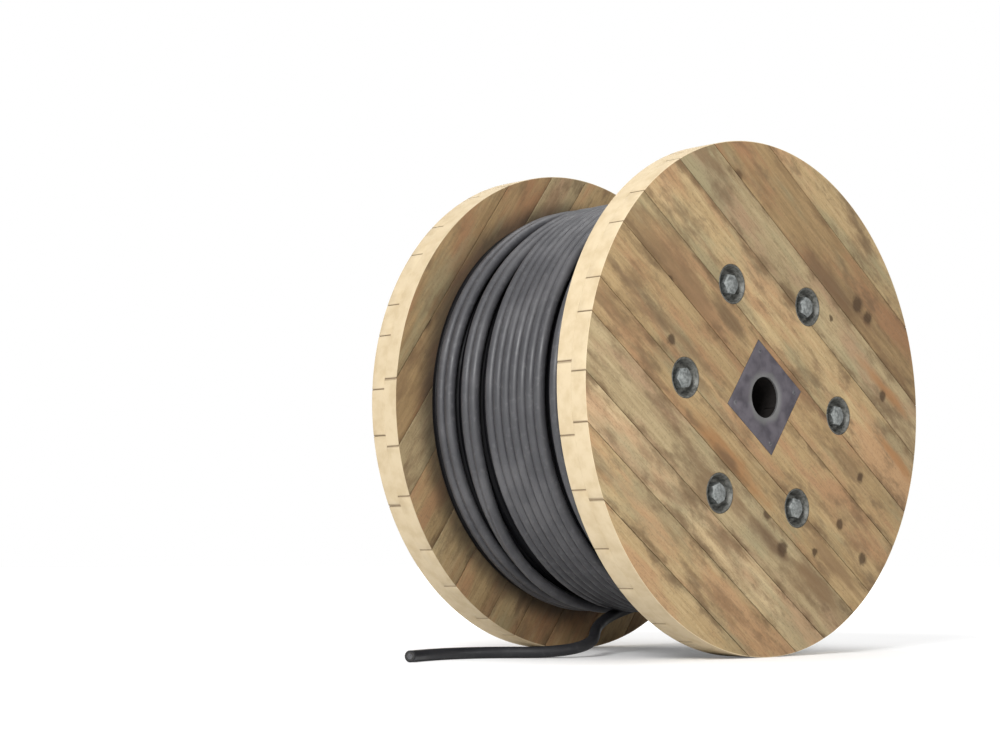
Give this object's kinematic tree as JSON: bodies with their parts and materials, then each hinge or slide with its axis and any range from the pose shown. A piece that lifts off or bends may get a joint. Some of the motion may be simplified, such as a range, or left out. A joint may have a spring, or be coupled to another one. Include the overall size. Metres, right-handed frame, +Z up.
{
  "type": "wooden cable drum",
  "caption": "Two-flange wooden drum of crosswise boards, tie rods and steel-plated spindle hole, filled with black power cable whose free end lies on the floor.",
  "frame": {"origin": "on the floor under the middle of the drum, at the bottom centre of its box", "axes": "+Y along the drum's axis from the front flange to the rear one, +Z up, +X to the right seen from the front"},
  "size_m": [1.1295, 0.5886, 1],
  "materials": {
    "flange_board": "sawn softwood, weathered",
    "barrel_stave": "planed softwood",
    "bush_plate": "dark grey steel, dull",
    "tie_rod": "zinc plated, dull",
    "cable_sheath": "black sheath, satin"
  },
  "bodies": {
    "root": {"barrel_staves": "barrel_stave", "cable_free_end": "cable_sheath", "cable_winding": "cable_sheath", "front_bush_plate": "bush_plate", "front_inner_board_01": "flange_board", "front_inner_board_02": "flange_board", "front_inner_board_03": "flange_board", "front_inner_board_04": "flange_board", "front_inner_board_05": "flange_board", "front_inner_board_06": "flange_board", "front_inner_board_07": "flange_board", "front_inner_board_08": "flange_board", "front_inner_board_09": "flange_board", "front_inner_board_10": "flange_board", "front_inner_board_11": "flange_board", "front_outer_board_01": "flange_board", "front_outer_board_02": "flange_board", "front_outer_board_03": "flange_board", "front_outer_board_04": "flange_board", "front_outer_board_05": "flange_board", "front_outer_board_06": "flange_board", "front_outer_board_07": "flange_board", "front_outer_board_08": "flange_board", "front_outer_board_09": "flange_board", "front_outer_board_10": "flange_board", "front_outer_board_11": "flange_board", "rear_bush_plate": "bush_plate", "rear_inner_board_01": "flange_board", "rear_inner_board_02": "flange_board", "rear_inner_board_03": "flange_board", "rear_inner_board_04": "flange_board", "rear_inner_board_05": "flange_board", "rear_inner_board_06": "flange_board", "rear_inner_board_07": "flange_board", "rear_inner_board_08": "flange_board", "rear_inner_board_09": "flange_board", "rear_inner_board_10": "flange_board", "rear_inner_board_11": "flange_board", "rear_outer_board_01": "flange_board", "rear_outer_board_02": "flange_board", "rear_outer_board_03": "flange_board", "rear_outer_board_04": "flange_board", "rear_outer_board_05": "flange_board", "rear_outer_board_06": "flange_board", "rear_outer_board_07": "flange_board", "rear_outer_board_08": "flange_board", "rear_outer_board_09": "flange_board", "rear_outer_board_10": "flange_board", "rear_outer_board_11": "flange_board", "tie_rod_1": "tie_rod", "tie_rod_2": "tie_rod", "tie_rod_3": "tie_rod", "tie_rod_4": "tie_rod", "tie_rod_5": "tie_rod", "tie_rod_6": "tie_rod"}
  },
  "joints": []
}
